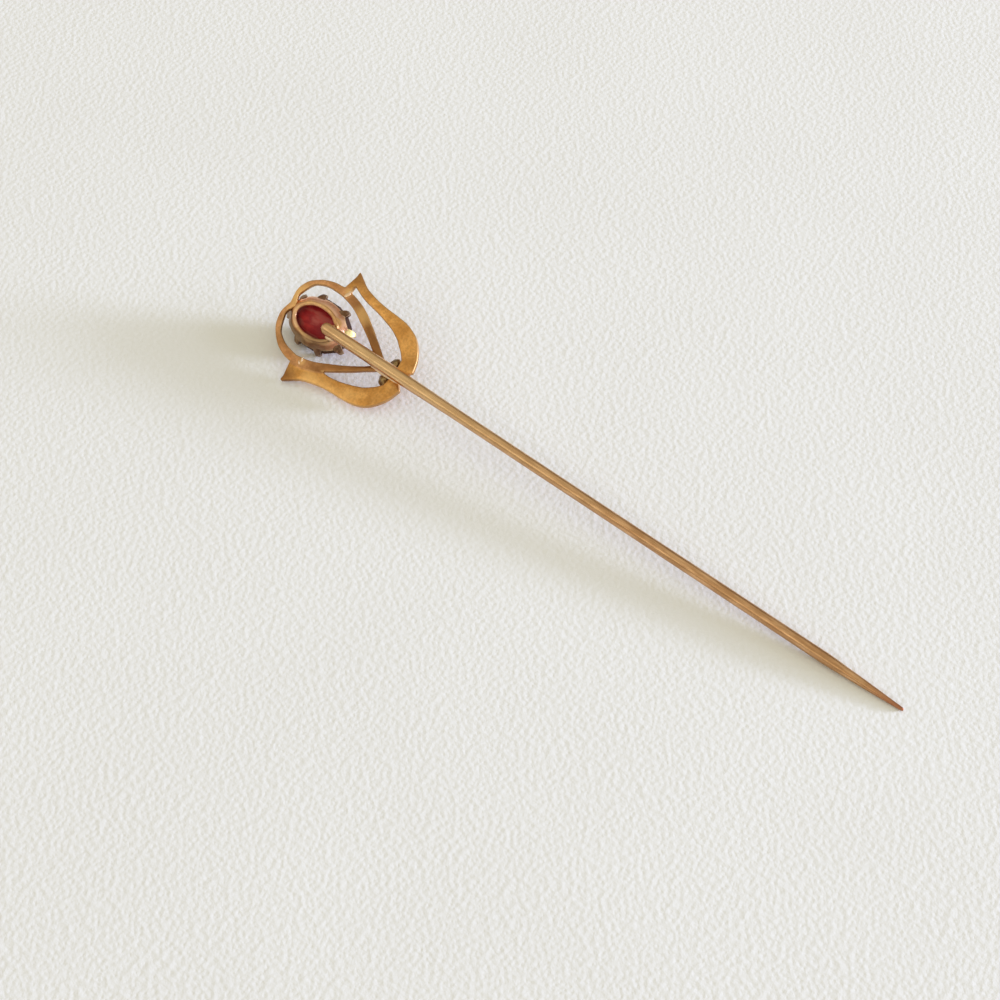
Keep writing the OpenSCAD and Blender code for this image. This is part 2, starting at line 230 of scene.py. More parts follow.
def nudge(piece: bpy.types.Object, grain: float, depth: float, seed: float) -> None:
    """Moves the vertices a little along their normals, as handwork and wear do.

    Args:
        piece: The mesh object, in millimetres.
        grain: The size of the unevenness.
        depth: How far it moves the surface.
        seed: Shifts the pattern, so that no two pieces have the same.
    """
    shift = Vector((seed, -seed, seed))
    normals = [v.normal.copy() for v in piece.data.vertices]
    for vertex, normal in zip(piece.data.vertices, normals):
        vertex.co += normal * noise.noise(vertex.co / grain + shift) * depth


def mark(piece: bpy.types.Object, name: str, values: Sequence[float]) -> None:
    """Stores one number for each vertex, for the materials to read.

    Args:
        piece: The mesh object.
        name: The attribute's name.
        values: A number for each vertex.
    """
    attribute = piece.data.attributes.new(name, "FLOAT", "POINT")
    attribute.data.foreach_set("value", list(values))


def mark_convex_edges(piece: bpy.types.Object, full_turn_deg: float = 35.0) -> None:
    """Marks how sharply the surface turns outwards at each vertex, from 0 to 1.

    Args:
        piece: The mesh object.
        full_turn_deg: The turn between neighbours at which the mark is 1.
    """
    mesh = piece.data
    turn = [0.0] * len(mesh.vertices)
    for edge in mesh.edges:
        a, b = (mesh.vertices[i] for i in edge.vertices)
        along = (b.co - a.co).normalized()
        outward = (b.normal - a.normal).dot(along)
        for vertex in (a, b):
            turn[vertex.index] = max(turn[vertex.index], outward)
    full = 2 * math.sin(math.radians(full_turn_deg) / 2)
    mark(piece, "edge", [clamp(t / full) for t in turn])


def finish_piece(
    piece: bpy.types.Object,
    material: bpy.types.Material,
    smooth_deg: float = 40.0,
) -> bpy.types.Object:
    """Lays a piece on the floor with the rest of the pin and gives it its finish.

    Args:
        piece: The mesh object, in millimetres in the pin's frame.
        material: The finish.
        smooth_deg: Edges sharper than this stay sharp.

    Returns:
        The same piece.
    """
    make_active(piece)
    bpy.ops.object.shade_smooth_by_angle(angle=math.radians(smooth_deg))
    piece.data.transform(POSE.matrix())
    piece.data.update()
    piece.data.materials.clear()
    piece.data.materials.append(material)
    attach(piece, BODY)
    LOG.info("%s: %d faces, %s", piece.name, len(piece.data.polygons), material.name)
    return piece


def copy_of(piece: bpy.types.Object, name: str) -> bpy.types.Object:
    """Copies an object together with its mesh.

    Args:
        piece: The object to copy.
        name: The copy's name.

    Returns:
        The copy, linked to the scene.
    """
    twin = piece.copy()
    twin.data = piece.data.copy()
    twin.name = twin.data.name = name
    bpy.context.scene.collection.objects.link(twin)
    return twin


class Graph:
    """Places and links the nodes of one material or node group."""

    def __init__(self, tree: bpy.types.NodeTree) -> None:
        """Starts on an empty tree."""
        self.tree = tree
        self.column = 0

    def node(self, kind: str, **settings: object) -> bpy.types.Node:
        """Adds a node.

        Args:
            kind: The node's type.
            **settings: Values for its own properties.

        Returns:
            The node.
        """
        made = self.tree.nodes.new(kind)
        made.location = (self.column * 190, 0)
        self.column += 1
        for name, value in settings.items():
            setattr(made, name, value)
        return made

    def feed(self, socket: bpy.types.NodeSocket, source: object) -> None:
        """Sets a socket to a value, or links it to another node's output."""
        if isinstance(source, bpy.types.NodeSocket):
            self.tree.links.new(source, socket)
        else:
            socket.default_value = source

    def wire(self, made: bpy.types.Node, inputs: dict[str | int, object]) -> None:
        """Feeds a node's inputs, each by its name or number."""
        for name, source in inputs.items():
            self.feed(made.inputs[name], source)

    def place(self) -> bpy.types.NodeSocket:
        """The place on the piece, in metres."""
        return self.node("ShaderNodeTexCoord").outputs["Object"]

    def value_of(self, attribute: str) -> bpy.types.NodeSocket:
        """A number that is stored at each vertex."""
        return self.node("ShaderNodeAttribute", attribute_name=attribute).outputs["Fac"]

    def bumped(self, height: object, strength: float, mm: float) -> bpy.types.NodeSocket:
        """Turns a height into a bumpy normal.

        Args:
            height: The height's output.
            strength: The share of the bump that shows.
            mm: The height of the bumps.

        Returns:
            The normal's output socket.
        """
        made = self.node("ShaderNodeBump")
        self.wire(made, {"Strength": strength, "Distance": mm * MM, "Height": height})
        return made.outputs["Normal"]

    def math(self, how: str, *inputs: object, clamp: bool = False) -> bpy.types.NodeSocket:
        """Adds a Math node and returns its output.

        Args:
            how: The operation.
            *inputs: Values or outputs for its inputs.
            clamp: Whether the result is kept between 0 and 1.

        Returns:
            The output socket.
        """
        made = self.node("ShaderNodeMath", operation=how, use_clamp=clamp)
        for socket, source in zip(made.inputs, inputs):
            self.feed(socket, source)
        return made.outputs[0]

    def mix(self, share: object, a: object, b: object) -> bpy.types.NodeSocket:
        """Mixes two colours and returns the result's output."""
        made = self.node("ShaderNodeMix", data_type="RGBA")
        self.wire(made, {"Factor": share, 6: a, 7: b})
        return made.outputs[2]

    def ramp(self, share: object, low: float, high: float) -> bpy.types.NodeSocket:
        """Turns a value into 0 below low and 1 above high, smoothly."""
        made = self.node("ShaderNodeMapRange", interpolation_type="SMOOTHSTEP")
        self.wire(made, {"Value": share, "From Min": low, "From Max": high})
        return made.outputs["Result"]

    def noise(self, where: object, per_mm: float, detail: float) -> bpy.types.NodeSocket:
        """Adds a noise texture on coordinates in metres and returns its value.

        Args:
            where: The coordinates' output.
            per_mm: How many bumps there are in a millimetre.
            detail: How many finer layers it has.

        Returns:
            The value's output socket.
        """
        made = self.node("ShaderNodeTexNoise")
        self.wire(made, {"Vector": where, "Scale": per_mm / MM, "Detail": detail})
        return made.outputs["Fac"]


def new_material(name: str) -> tuple[bpy.types.Material, Graph, bpy.types.Node]:
    """Makes an empty node material with its shader.

    Args:
        name: The material's name.

    Returns:
        The material, its graph and its Principled shader.
    """
    material = bpy.data.materials.new(name)
    material.use_nodes = True
    material.node_tree.nodes.clear()
    graph = Graph(material.node_tree)
    shader = graph.node("ShaderNodeBsdfPrincipled")
    output = graph.node("ShaderNodeOutputMaterial")
    graph.feed(output.inputs["Surface"], shader.outputs["BSDF"])
    return material, graph, shader


GOLD_INPUTS = {
    "Where": "Vector", "Bright": "Color", "Deep": "Color", "Rim": "Color", "Rubbed and lit": "Color",
    "Tarnished and shaded": "Color", "Rim mask": "Float", "Wear and light": "Float", "Roughness": "Float",
    "Cloud size": "Float", "Mottling": "Float",
}
GOLD_OUTPUTS = {"Color": "Color", "Roughness": "Float", "Height": "Float"}


def gold_wear_and_light_group() -> bpy.types.NodeTree:
    """Builds the group that all gold finishes share: cloudy tone, dark rims, and patches that a
    mark lightens or darkens, for wear and tarnish and also for painted light and shade.

    Returns:
        The group, with the outputs Color, Roughness and Height.
    """
    group = bpy.data.node_groups.new("gold_wear_and_light", "ShaderNodeTree")
    for side, sockets in (("INPUT", GOLD_INPUTS), ("OUTPUT", GOLD_OUTPUTS)):
        for name, kind in sockets.items():
            group.interface.new_socket(name=name, in_out=side, socket_type="NodeSocket" + kind)
    graph = Graph(group)
    given = graph.node("NodeGroupInput").outputs
    where = given["Where"]
    scaled = graph.node("ShaderNodeVectorMath", operation="DIVIDE")
    graph.wire(scaled, {0: where, 1: given["Cloud size"]})
    clouds = graph.ramp(graph.noise(scaled.outputs[0], per_mm=0.9, detail=3.0), 0.36, 0.66)
    tone = graph.mix(clouds, given["Deep"], given["Bright"])
    speckle = graph.ramp(graph.noise(where, per_mm=9.0, detail=2.0), 0.56, 0.72)
    tone = graph.mix(graph.math("MULTIPLY", speckle, 0.35), tone, given["Rim"])
    stains = graph.ramp(graph.noise(where, per_mm=4.6, detail=2.0), 0.36, 0.68)
    stained = graph.math("MULTIPLY", stains, given["Mottling"])
    tone = graph.mix(stained, tone, given["Tarnished and shaded"])
    ragged = graph.math("MULTIPLY_ADD", graph.noise(where, per_mm=3.2, detail=3.0), 0.5, -0.25)
    rim = graph.ramp(graph.math("ADD", given["Rim mask"], ragged), 0.35, 0.95)
    tone = graph.mix(rim, tone, given["Rim"])
    # Above 0 the mark lightens the gold and below 0 it darkens it: wear and tarnish, and also
    # painted light and shade.
    patchy = graph.math("MULTIPLY_ADD", graph.noise(where, per_mm=2.4, detail=3.0), 0.5, 0.75)
    wear_and_light = graph.math("MULTIPLY", given["Wear and light"], patchy)
    tone = graph.mix(graph.math("MAXIMUM", wear_and_light, 0.0), tone, given["Rubbed and lit"])
    dark = graph.math("MAXIMUM", graph.math("MULTIPLY", wear_and_light, -1.0), 0.0, clamp=True)
    rough = graph.math("MULTIPLY_ADD", speckle, 0.16, given["Roughness"])
    scratches = graph.noise(where, per_mm=22.0, detail=2.0)
    waves = graph.noise(where, per_mm=4.0, detail=3.0)
    graph.wire(graph.node("NodeGroupOutput"), {
        "Color": graph.mix(dark, tone, given["Tarnished and shaded"]),
        "Roughness": graph.math("MULTIPLY_ADD", rim, 0.08, rough),
        "Height": graph.math("MULTIPLY_ADD", scratches, 0.35, waves),
    })
    return group


Colour = tuple[float, float, float]


def rgba(colour: Colour) -> tuple[float, float, float, float]:
    """A colour with full alpha."""
    return (*colour, 1.0)


@dataclass(frozen=True)
class GoldFinish:
    """One tone of the old gold: its colours, gloss and unevenness.

    bright and deep are the two tones of the open surface, rim the tone of its edges. Where the
    zone is marked, middle and far are the tones at half and at full zone, each bright and deep.
    """

    name: str
    bright: Colour
    deep: Colour
    rim: Colour
    # The lighter and the darker colour that the mark mixes in stand for wear and tarnish and also
    # for painted light and shade.
    rubbed_and_lit: Colour = (1.0, 0.74, 0.42)
    tarnished_and_shaded: Colour = (0.26, 0.13, 0.05)
    roughness: float = 0.36
    cloud_mm: float = 1.0
    bump: float = 0.25
    bump_mm: float = 0.02
    stretch: float = 1.0
    mottling: float = 0.3
    middle: tuple[Colour, Colour] | None = None
    far: tuple[Colour, Colour] | None = None

    def material(self, group: bpy.types.NodeTree) -> bpy.types.Material:
        """Builds the material around the shared group.

        Args:
            group: The shared gold group, with its wear and its painted light and shade.

        Returns:
            The material.
        """
        material, graph, shader = new_material(self.name)
        drawn = graph.node("ShaderNodeMapping")
        graph.wire(drawn, {
            "Vector": graph.place(),
            "Rotation": (0, math.radians(-POSE.tilt_deg), 0),
            "Scale": (self.stretch, 1.0, 1.0),
        })
        bright: object = rgba(self.bright)
        deep: object = rgba(self.deep)
        if self.middle and self.far:
            zone = graph.value_of("zone")
            for (light, dark), start in ((self.middle, 0.0), (self.far, 0.5)):
                share = graph.ramp(zone, start, start + 0.5)
                bright = graph.mix(share, bright, rgba(light))
                deep = graph.mix(share, deep, rgba(dark))
        shared_gold = graph.node("ShaderNodeGroup", node_tree=group)
        graph.wire(shared_gold, {
            "Where": drawn.outputs[0], "Bright": bright, "Deep": deep, "Rim": rgba(self.rim),
            "Rubbed and lit": rgba(self.rubbed_and_lit), "Tarnished and shaded": rgba(self.tarnished_and_shaded),
            "Rim mask": graph.value_of("edge"), "Wear and light": graph.value_of("wear_and_light"),
            "Roughness": self.roughness, "Cloud size": self.cloud_mm,
            "Mottling": self.mottling,
        })
        graph.wire(shader, {
            "Base Color": shared_gold.outputs["Color"],
            "Roughness": shared_gold.outputs["Roughness"],
            "Normal": graph.bumped(shared_gold.outputs["Height"], self.bump, self.bump_mm),
            "Metallic": 1.0,
        })
        return material


@dataclass(frozen=True)
class GemFinish:
    """The dark red stone: cloudy red behind, dark and polished in front of its girdle, with a
    painted grey reflection round its edge.

    The stone's own frame is given by its middle and its roll, and half_size is its girdle.
    """

    name: str = "red_stone"
    bright: Colour = (0.48, 0.036, 0.036)
    deep: Colour = (0.30, 0.014, 0.020)
    hazy: Colour = (0.42, 0.08, 0.07)
    # A dark grey painted reflection round the girdle's edge.
    edge_sheen: Colour = (0.10, 0.055, 0.045)
    front: Colour = (0.15, 0.006, 0.010)
    middle: tuple[float, float, float] = (-0.02871, 0.00024, 0.00211)
    roll_deg: float = 30.7
    half_size: tuple[float, float] = (0.00322, 0.00234)
    outer_from: Point = (0.66, 0.86)
    back_from: Point = (-0.42, -0.36)
    streak_deg: float = -25.0
    streak: float = 0.35
    roughness: float = 0.34
    outer_polish: float = -0.22
    front_rough: float = 0.25

    def material(self) -> bpy.types.Material:
        """Builds the material.

        Returns:
            The material.
        """
        material, graph, shader = new_material(self.name)
        where = graph.place()
        level = graph.node("ShaderNodeMapping", vector_type="TEXTURE")
        graph.wire(level, {
            "Vector": where, "Location": self.middle,
            "Rotation": (math.radians(self.roll_deg), 0, 0),
            "Scale": (*self.half_size, self.half_size[1]),
        })
        parts = graph.node("ShaderNodeSeparateXYZ")
        graph.feed(parts.inputs[0], level.outputs[0])
        flat = graph.node("ShaderNodeCombineXYZ")
        graph.wire(flat, {axis: parts.outputs[axis] for axis in ("X", "Y")})
        radius = graph.node("ShaderNodeVectorMath", operation="LENGTH")
        graph.feed(radius.inputs[0], flat.outputs[0])
        edge_sheen = graph.ramp(radius.outputs["Value"], *self.outer_from)
        back = graph.ramp(parts.outputs["Z"], *self.back_from)
        streak = graph.node("ShaderNodeMapping")
        graph.wire(streak, {
            "Vector": where, "Rotation": (0, 0, math.radians(self.streak_deg)),
            "Scale": (self.streak, 1.0, 1.0),
        })
        drawn = streak.outputs[0]
        clouds = graph.ramp(graph.noise(drawn, per_mm=1.1, detail=3.0), 0.40, 0.60)
        haze = graph.ramp(graph.noise(drawn, per_mm=1.6, detail=2.0), 0.5, 0.68)
        body = graph.mix(clouds, rgba(self.deep), rgba(self.bright))
        body = graph.mix(haze, body, rgba(self.hazy))
        body = graph.mix(edge_sheen, body, rgba(self.edge_sheen))
        dust = graph.math("MULTIPLY", graph.noise(where, per_mm=5.0, detail=3.0), 0.2)
        rough = graph.math("ADD", dust, self.roughness)
        rough = graph.math("ADD", rough, graph.math("MULTIPLY", edge_sheen, self.outer_polish))
        dulled = graph.math("MULTIPLY_ADD", back, 1 - self.front_rough, self.front_rough)
        graph.wire(shader, {
            "Base Color": graph.mix(back, rgba(self.front), body),
            "Roughness": graph.math("MULTIPLY", rough, dulled),
            "Normal": graph.bumped(graph.noise(where, per_mm=6.0, detail=2.0), 0.08, 0.01),
            "IOR": 1.5,
            "Specular IOR Level": 0.25,
        })
        return material


@dataclass(frozen=True)
class PaperFinish:
    """The pale paper that the pin lies on, with a fine pebbled surface."""

    name: str = "pebbled_paper"
    light: Colour = (0.915, 0.915, 0.912)
    dark: Colour = (0.90, 0.898, 0.892)
    pebble_per_mm: float = 2.1
    bump: float = 0.27
    bump_mm: float = 0.1

    def material(self) -> bpy.types.Material:
        """Builds the material.

        Returns:
            The material.
        """
        material, graph, shader = new_material(self.name)
        where = graph.place()
        cells = graph.node(
            "ShaderNodeTexVoronoi", feature="SMOOTH_F1", voronoi_dimensions="2D"
        )
        graph.wire(cells, {
            "Vector": where, "Scale": self.pebble_per_mm / MM, "Smoothness": 0.9,
        })
        soft = graph.noise(where, self.pebble_per_mm * 1.5, detail=3.0)
        height = graph.math("ADD", cells.outputs["Distance"], soft)
        clouds = graph.ramp(graph.noise(where, per_mm=0.05, detail=2.0), 0.3, 0.7)
        graph.wire(shader, {
            "Base Color": graph.mix(clouds, rgba(self.dark), rgba(self.light)),
            "Normal": graph.bumped(height, self.bump, self.bump_mm),
            "Roughness": 0.9,
            "Specular IOR Level": 0.15,
        })
        return material


def smooth_curve(rows: Rows, steps: int) -> list[Point]:
    """A smooth curve through all rows of an outline table.

    Args:
        rows: Rows of two numbers.
        steps: Points from one row to the next.

    Returns:
        The curve's points.
    """
    last = len(rows) - 1
    points: list[Point] = []
    for i in range(last):
        a, b, c, d = (rows[min(max(k, 0), last)] for k in (i - 1, i, i + 1, i + 2))
        for step in range(steps):
            t = step / steps
            points.append(tuple(
                0.5 * (2 * q + (r - p) * t + (2 * p - 5 * q + 4 * r - s) * t * t
                       + (3 * q - p - 3 * r + s) * t ** 3)
                for p, q, r, s in zip(a, b, c, d)
            ))
    points.append((rows[last][0], rows[last][1]))
    return points


@dataclass
class Stem:
    """The long round wire, from its rounded end on the collet to its ground point."""

    length: float = 60.0
    diameter: float = 0.98
    head_diameter: float = 1.12
    head_run: float = 9.65
    neck: float = 5.0
    point: float = 7.2
    tip_diameter: float = 0.3
    belly: Point = (0.7, 0.5)
    sides: int = 48
    end_rings: int = 9
    point_rim: float = 0.9
    rubbed_and_lit_run: float = 34.0
    rubbed_and_lit: float = 0.5
    under_shade: float = 0.6

    def stations(self) -> list[Point]:
        """Rows of x and radius from the rounded end to the tip."""
        head, wire, tip = (d / 2 for d in (self.head_diameter, self.diameter, self.tip_diameter))
        quarter = [math.pi / 2 * i / self.end_rings for i in range(1, self.end_rings + 1)]
        rows = [(head * (1 - math.cos(a)), head * math.sin(a)) for a in quarter]
        rows += [(self.head_run * share, head) for share in (0.3, 0.6, 1.0)]
        rows += [(self.head_run + self.neck, wire)]
        start = self.length - self.point
        run = start - rows[-1][0]
        rows += [(rows[-1][0] + run * share, wire) for share in (0.25, 0.5, 0.75, 1.0)]
        belly_x = self.length - self.point * self.belly[1]
        rows += [(start + (belly_x - start) / 2, wire * (1 + self.belly[0]) / 2 * 1.012)]
        rows += [(belly_x, wire * self.belly[0])]
        rows += [(self.length - tip, tip)]
        for a in quarter[:-1:3]:
            rows += [(self.length - tip * (1 - math.sin(a)), tip * math.cos(a))]
        return rows

    def ring(self, x: float, radius: float) -> list[Vector]:
        """The corners of one ring of the wire."""
        turns = [math.tau * i / self.sides for i in range(self.sides)]
        return [Vector((x, radius * math.cos(a), radius * math.sin(a))) for a in turns]

    def build(self, finish: bpy.types.Material) -> bpy.types.Object:
        """Models the stem and gives it its finish.

        Args:
            finish: The stem's gold.

        Returns:
            The stem.
        """
        rings = [self.ring(*station) for station in self.stations()]
        piece = loft("stem", rings, merge=0.00005)
        enter_edit(piece)
        bpy.ops.mesh.subdivide(number_cuts=1)
        leave_edit()
        nudge(piece, grain=1.6, depth=0.012, seed=3.1)
        self.mark_wear(piece)
        return finish_piece(piece, finish, smooth_deg=50)

    def mark_wear(self, piece: bpy.types.Object) -> None:
        """Marks the ground point as rim, lightens the head run as handling wear and painted light,
        and darkens the underside as painted shade.
        """
        start = self.length - self.point
        roll = math.radians(POSE.roll_deg)
        rims: list[float] = []
        wear_and_light: list[float] = []
        for vertex in piece.data.vertices:
            x, y, z = vertex.co
            rims.append(self.point_rim * max(0.0, (x - start) / self.point))
            # The side that faces the floor is darkened: painted shade.
            up = (y * math.sin(roll) + z * math.cos(roll)) / max(math.hypot(y, z), 0.01)
            under = clamp((0.2 - up) / 0.5)
            # Toward the head end the stem is lightened, partly as handling wear and partly as
            # painted light.
            rubbed_and_lit = self.rubbed_and_lit * max(0.0, 1 - x / self.rubbed_and_lit_run)
            rubbed_and_lit *= min(1.0, 0.2 + max(0.0, x) / 5)
            wear_and_light.append(rubbed_and_lit * (1 - under) - self.under_shade * under)
        mark(piece, "edge", rims)
        mark(piece, "wear_and_light", wear_and_light)


@dataclass
class TulipFrame:
    """The flat openwork sheet: two petals, two lobes with their strands, stalk and base."""

    head_w: float = 11.7
    petal_len: float = 9.9
    heart_w: float = 8.1
    lobe_rise: float = 3.85
    heart_drop: float = 6.7
    thickness: float = 0.65
    back: float = -0.48
    lean: float = 0.38
    stalk_half_w: float = 0.42
    shoulder_back: float = 0.55
    cusp_x: float = -3.49
    slot_wedge: float = 0.3
    foot_notch: float = 0.915
    slot_foot: float = 0.85
    tip_top: Point = (0.02, 0.987)
    slot_corner: Point = (0.055, 0.985)
    curve_steps: int = 6
    voxel: float = 0.052
    crown: float = 0.11
    crown_w: float = 0.62
    rim_band: float = 0.22
    strand_w: float = 0.95
    lobe_x: Point = (-1.6, 3.4)
    zone_blend: float = 0.24
    tip: Point = (-0.3, 5.83)
    tip_reach: float = 0.6
    # Columns: the way forward and outward, and how far.
    tip_pull: tuple[float, float, float] = (-0.65, 0.76, 0.15)
    # Columns: x, y, radius, amount. Above 0 the gold is lighter, below 0 darker; the spots mix
    # wear and tarnish with painted light and shade.
    wear_and_light: Rows = (
        (-0.2, 5.6, 1.5, -0.75),
        (-0.2, -5.5, 1.5, -0.95),
        (-0.1, 3.9, 0.5, 0.8),
        (0.3, -3.6, 0.45, 0.6),
        (1.7, -4.6, 1.1, 0.55),
        (3.2, -5.1, 0.6, 0.9),
        (4.3, -4.9, 0.6, 0.8),
        (5.4, -4.7, 0.6, 0.7),
        (-3.9, 1.2, 1.8, 0.8),
        (-2.6, -3.3, 1.6, -0.3),
        (1.2, 5.0, 1.2, -0.35),
        (8.4, -3.0, 1.4, -0.35),
        (9.1, -1.2, 1.0, -0.35),
        (8.9, 1.8, 1.3, -0.35),
        (2.4, 2.9, 1.3, 0.6),
        (3.6, -2.4, 2.2, -0.5),
        (-2.6, -3.0, 1.4, -0.25),
        (5.6, 1.4, 1.8, -0.9),
        (5.8, -1.4, 1.9, -0.7),
        (3.4, -4.2, 1.7, 0.5),
        (5.6, -4.0, 1.5, 0.3),
    )

    lobe_outside: Rows = (
        (0.93, 0), (0.99, 0.27), (0.94, 0.49), (0.83, 0.67),
        (0.59, 0.86), (0.33, 0.97), (0.05, 1.01),
    )
    lobe_inside: Rows = (
        (0.83, 0.13), (0.87, 0.27), (0.75, 0.56), (0.62, 0.69), (0.36, 0.79), (0.0, 0.82),
    )
    strand_inside: Rows = (
        (0.14, 0.78), (0.29, 0.70), (0.44, 0.575), (0.60, 0.44),
        (0.75, 0.295), (0.88, 0.15), (1.0, 0),
    )
    strand_outside: Rows = (
        (0.89, 0.32), (0.74, 0.49), (0.58, 0.66), (0.44, 0.80), (0.29, 0.91), (0.155, 0.97),
    )
    right_outside: Rows = (
        (0.03, 1.0), (0.075, 0.96), (0.13, 0.905), (0.20, 0.855), (0.38, 0.79), (0.58, 0.765),
        (0.68, 0.745), (0.77, 0.695), (0.84, 0.625), (0.91, 0.505), (0.965, 0.355), (1.0, 0.165),
    )
    left_outside: Rows = (
        (0.03, 1.0), (0.075, 0.96), (0.13, 0.895), (0.20, 0.835), (0.38, 0.765), (0.58, 0.745),
        (0.68, 0.73), (0.77, 0.69), (0.84, 0.625), (0.91, 0.50), (0.965, 0.35), (1.0, 0.165),
    )
    right_inside: Rows = (
        (0.055, 0.80), (0.18, 0.715), (0.28, 0.675), (0.38, 0.645), (0.485, 0.60),
        (0.585, 0.55), (0.685, 0.465), (0.735, 0.40), (0.79, 0.325), (0.84, 0.235),
    )
    left_inside: Rows = (
        (0.29, 0.56), (0.36, 0.57), (0.43, 0.56), (0.51, 0.53), (0.60, 0.485),
        (0.69, 0.425), (0.74, 0.37), (0.79, 0.305), (0.84, 0.22),
    )

    def placed(self, rows: Rows, length: float, half_w: float) -> list[Point]:
        """A table's smooth curve in millimetres, from the shoulder line."""
        curve = smooth_curve(rows, self.curve_steps)
        return [(along * length - self.shoulder_back, out * half_w) for along, out in curve]

    @staticmethod
    def mirrored(points: Sequence[Point]) -> list[Point]:
        """The same curve on the left side, run the other way."""
        return [(x, -y) for x, y in reversed(points)]

    def leaned(self, points: Sequence[Point]) -> list[Point]:
        """The outline, leaning more the higher it is above the shoulder line."""
        rises = [max(0.0, -self.shoulder_back - x) / self.lobe_rise for x, _ in points]
        return [(x, y + self.lean * rise ** 2) for (x, y), rise in zip(points, rises)]

    def turned(self, points: Sequence[Point]) -> list[Point]:
        """The heart's opening, turned about the shoulder line, less below it than above."""
        def shift(x: float) -> float:
            """Sideways shift at a height."""
            rise = -self.shoulder_back - x
            return self.lean * rise / (self.lobe_rise if rise > 0 else 2 * self.heart_drop)

        return [(x, y + shift(x)) for x, y in points]

    def along(self, share: float) -> float:
        """The x at a share of the petals' length."""
        return share * self.petal_len - self.shoulder_back

    def outline(self) -> list[Point]:
        """The outer outline, once around."""
        half_heart, half_head = self.heart_w / 2, self.head_w / 2
        lobe = self.placed(self.lobe_outside, -self.lobe_rise, half_heart)
        tip = [(self.along(self.tip_top[0]), self.tip_top[1] * half_head)]
        right = lobe + tip + self.placed(self.right_outside, self.petal_len, half_head)
        left = lobe + tip + self.placed(self.left_outside, self.petal_len, half_head)
        notch = [(self.along(self.foot_notch), 0.0)]
        return self.leaned(right + notch + self.mirrored(left))[:-1]

    def heart_hole(self) -> list[Point]:
        """The opening inside the lobes and strands."""
        half_heart = self.heart_w / 2
        side = (
            [(self.cusp_x, 0.0)]
            + self.placed(self.lobe_inside, -self.lobe_rise, half_heart)
            + self.placed(self.strand_inside, self.heart_drop, half_heart)
        )
        return self.turned(side + self.mirrored(side)[1:-1])

    def slots(self) -> list[list[Point]]:
        """The right and the left slot, between strand and petal."""
        half_heart, half_head = self.heart_w / 2, self.head_w / 2
        strand = self.placed(self.strand_outside, self.heart_drop, half_heart)
        (ax, ay), (bx, by) = strand[0], strand[1]
        reach = (ay - self.stalk_half_w) / (by - ay)
        foot = [
            (self.along(self.slot_foot), self.stalk_half_w),
            (ax + (ax - bx) * reach, ay + (ay - by) * reach),
        ]
        corner = [(self.along(self.slot_corner[0]), self.slot_corner[1] * half_heart)]
        right = corner + self.placed(self.right_inside, self.petal_len, half_head) + foot + strand
        inside = self.placed(self.left_inside, self.petal_len, half_head)
        upper = [p for p in strand if p[0] > inside[0][0] + self.slot_wedge]
        return [right, self.mirrored(inside + foot + upper)]

    def build(self, finish: bpy.types.Material) -> bpy.types.Object:
        """Cuts the sheet, rounds its edges, crowns its back and gives it its finish.

        Args:
            finish: The frame's gold.

        Returns:
            The frame.
        """
        front = self.back - self.thickness
        loops = [self.outline(), self.heart_hole(), *self.slots()]
        piece = new_ring("tulip_frame", [Vector((x, y, front)) for x, y in loops[0]])
        for loop in loops[1:]:
            add_ring([Vector((x, y, front)) for x, y in loop])
        bpy.ops.mesh.select_all(action="SELECT")
        bpy.ops.mesh.fill(use_beauty=True)
        bpy.ops.mesh.select_all(action="SELECT")
        bpy.ops.mesh.extrude_region_move(
            TRANSFORM_OT_translate={"value": (0, 0, self.thickness)}
        )
        leave_edit()
        close_shell(piece)
        apply_modifier(piece, "REMESH", mode="VOXEL", voxel_size=self.voxel)
        apply_modifier(piece, "SMOOTH", factor=0.5, iterations=3)
        self.shape_and_mark(piece, loops)
        nudge(piece, grain=0.9, depth=0.016, seed=1.7)
        return finish_piece(piece, finish, smooth_deg=180)

    def shape_and_mark(self, piece: bpy.types.Object, loops: Sequence[Sequence[Point]]) -> None:
        """Crowns the back between the edges, and marks rims and strands.

        Args:
            piece: The remeshed sheet.
            loops: The outline, the heart's opening and the slots.
        """
        edges = self.tree_of(loops)
        heart = self.tree_of(loops[1:2])
        middle = self.back - self.thickness / 2
        rims: list[float] = []
        zones: list[float] = []
        wear_and_light: list[float] = []
        for vertex in piece.data.vertices:
            self.draw_out_tip(vertex)
            flat = Vector((vertex.co.x, vertex.co.y, 0))
            inset = edges.find(flat)[2]
            swell = 1 - (1 - min(1.0, inset / self.crown_w)) ** 2
            height = (vertex.co.z - middle) / (self.thickness / 2)
            vertex.co.z -= self.crown * (1 - swell) * clamp(height, -1.0)
            rims.append(max(0.0, 1 - inset / self.rim_band))
            share = (heart.find(flat)[2] - self.strand_w) / self.zone_blend + 0.5
            zones.append(self.zone_at(flat.x) * (1 - clamp(share)))
            # Each vertex takes the spots' lightening and darkening: wear and tarnish mixed with
            # painted light and shade.
            wear_and_light.append(self.wear_and_light_at(flat))
        mark(piece, "edge", rims)
        mark(piece, "zone", zones)
        mark(piece, "wear_and_light", wear_and_light)

    def draw_out_tip(self, vertex: bpy.types.MeshVertex) -> None:
        """Draws the petals' tips out to their points again, after the smoothing."""
        side = 1 if vertex.co.y > 0 else -1
        away = math.dist((vertex.co.x, vertex.co.y * side), self.tip)
        pull = self.tip_pull[2] * max(0.0, 1 - away / self.tip_reach) ** 2
        vertex.co.x += self.tip_pull[0] * pull
        vertex.co.y += self.tip_pull[1] * pull * side

